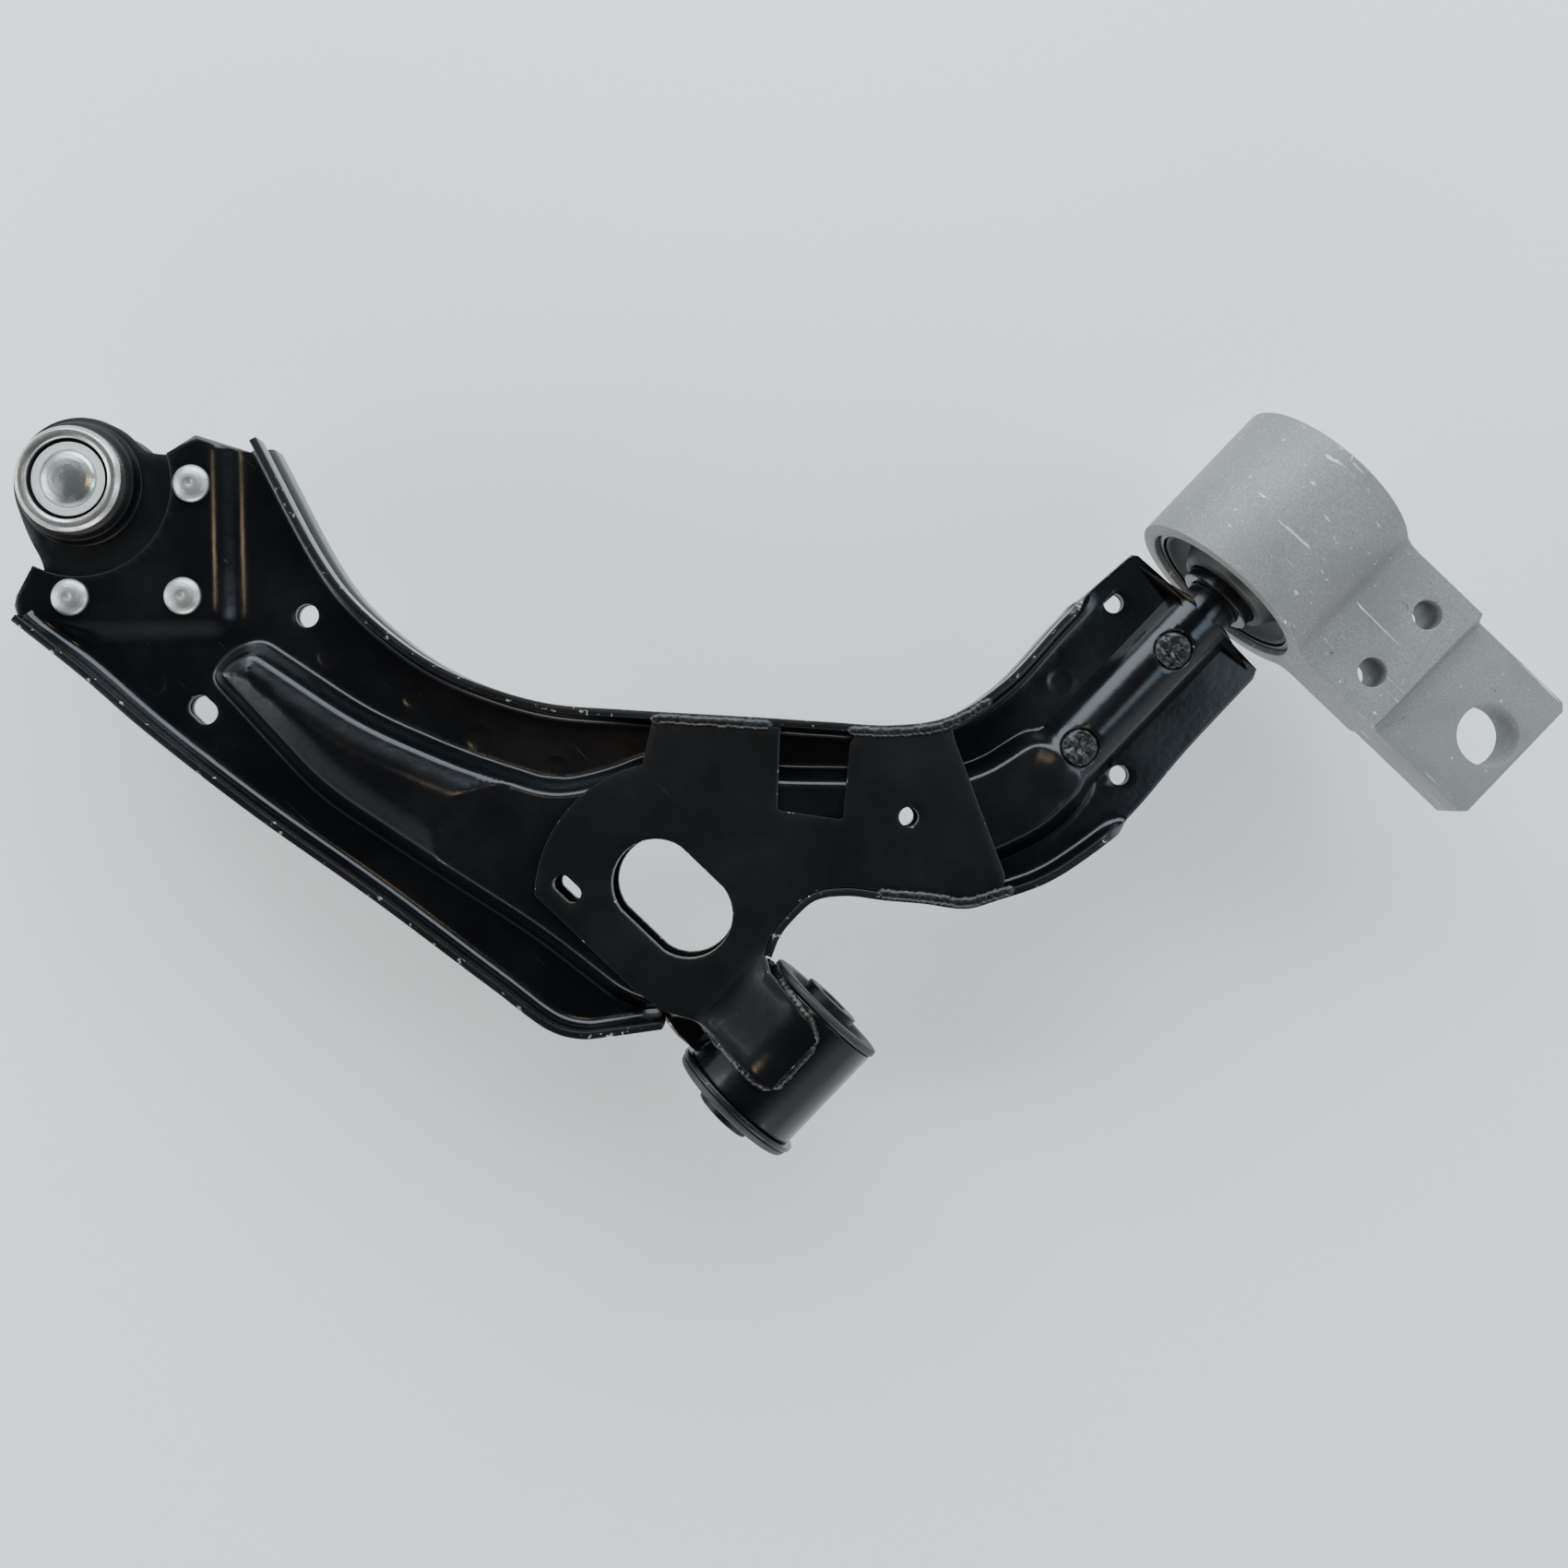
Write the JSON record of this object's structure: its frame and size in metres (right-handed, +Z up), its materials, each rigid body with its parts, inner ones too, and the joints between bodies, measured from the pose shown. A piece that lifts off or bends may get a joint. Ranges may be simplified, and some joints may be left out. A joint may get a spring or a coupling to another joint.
{
  "type": "vehicle suspension control arm",
  "caption": "L-shaped pressed steel suspension arm with a riveted ball joint, a front rubber bush in a welded sleeve and a rear rubber bush in a cast bracket.",
  "frame": {"origin": "centre of the front bush, on the pivot axis", "axes": "+Y along the pivot axis from the rear bush to the front bush, +X out to the ball joint, +Z up, away from the ball stud"},
  "size_m": [0.4993, 0.395, 0.114],
  "materials": {
    "black_paint": "glossy black dip paint over pressed steel",
    "bush_rubber": "matt",
    "boot_rubber": "semi-matt",
    "bare_steel": "turned, lightly oiled",
    "zinc": "bright zinc plate",
    "cast_aluminium": "blasted casting",
    "nylon": "moulded"
  },
  "bodies": {
    "arm": {"upper_shell": "black_paint", "lower_shell": "black_paint", "closing_plate": "black_paint", "plug_weld_inner": "black_paint", "plug_weld_outer": "black_paint", "front_sleeve": "black_paint", "front_bush_outer_shell": "black_paint", "front_bush_rubber": "bush_rubber", "rear_pin": "black_paint", "rear_bush_inner_sleeve": "black_paint", "rear_bush_rubber": "bush_rubber", "ball_joint_housing": "black_paint", "ball_joint_cap": "zinc", "ball_seat": "nylon", "dust_boot": "boot_rubber", "boot_retainer_large": "bare_steel", "rivet_front": "zinc", "rivet_rear": "zinc", "rivet_inner": "zinc"},
    "front_core": {"front_bush_inner_sleeve": "bare_steel"},
    "rear_mount": {"rear_bracket": "cast_aluminium", "rear_bush_outer_ring": "black_paint"},
    "boot_end": {"boot_retainer_small": "bare_steel"},
    "stud": {"ball_stud": "bare_steel"}
  },
  "joints": [
    {"name": "front_bush_twist", "type": "hinge", "parent": "arm", "child": "front_core", "pos_m": [0, 0, 0], "axis": [0, 1, 0], "range_deg": [-25, 25], "stiffness_Nm_per_rad": 60},
    {"name": "rear_bush_twist", "type": "hinge", "parent": "arm", "child": "rear_mount", "pos_m": [0, -0.2782, 0], "axis": [0, 1, 0], "range_deg": [-25, 25], "stiffness_Nm_per_rad": 80},
    {"name": "ball_tilt", "type": "hinge", "parent": "arm", "child": "boot_end", "pos_m": [0.349, 0.027, -0.002], "axis": [0, 1, 0], "range_deg": [-20, 20], "deforming": ["dust_boot"]},
    {"name": "ball_spin", "type": "hinge", "parent": "boot_end", "child": "stud", "pos_m": [0.349, 0.027, -0.002], "axis": [0, 0, 1], "continuous": true}
  ]
}
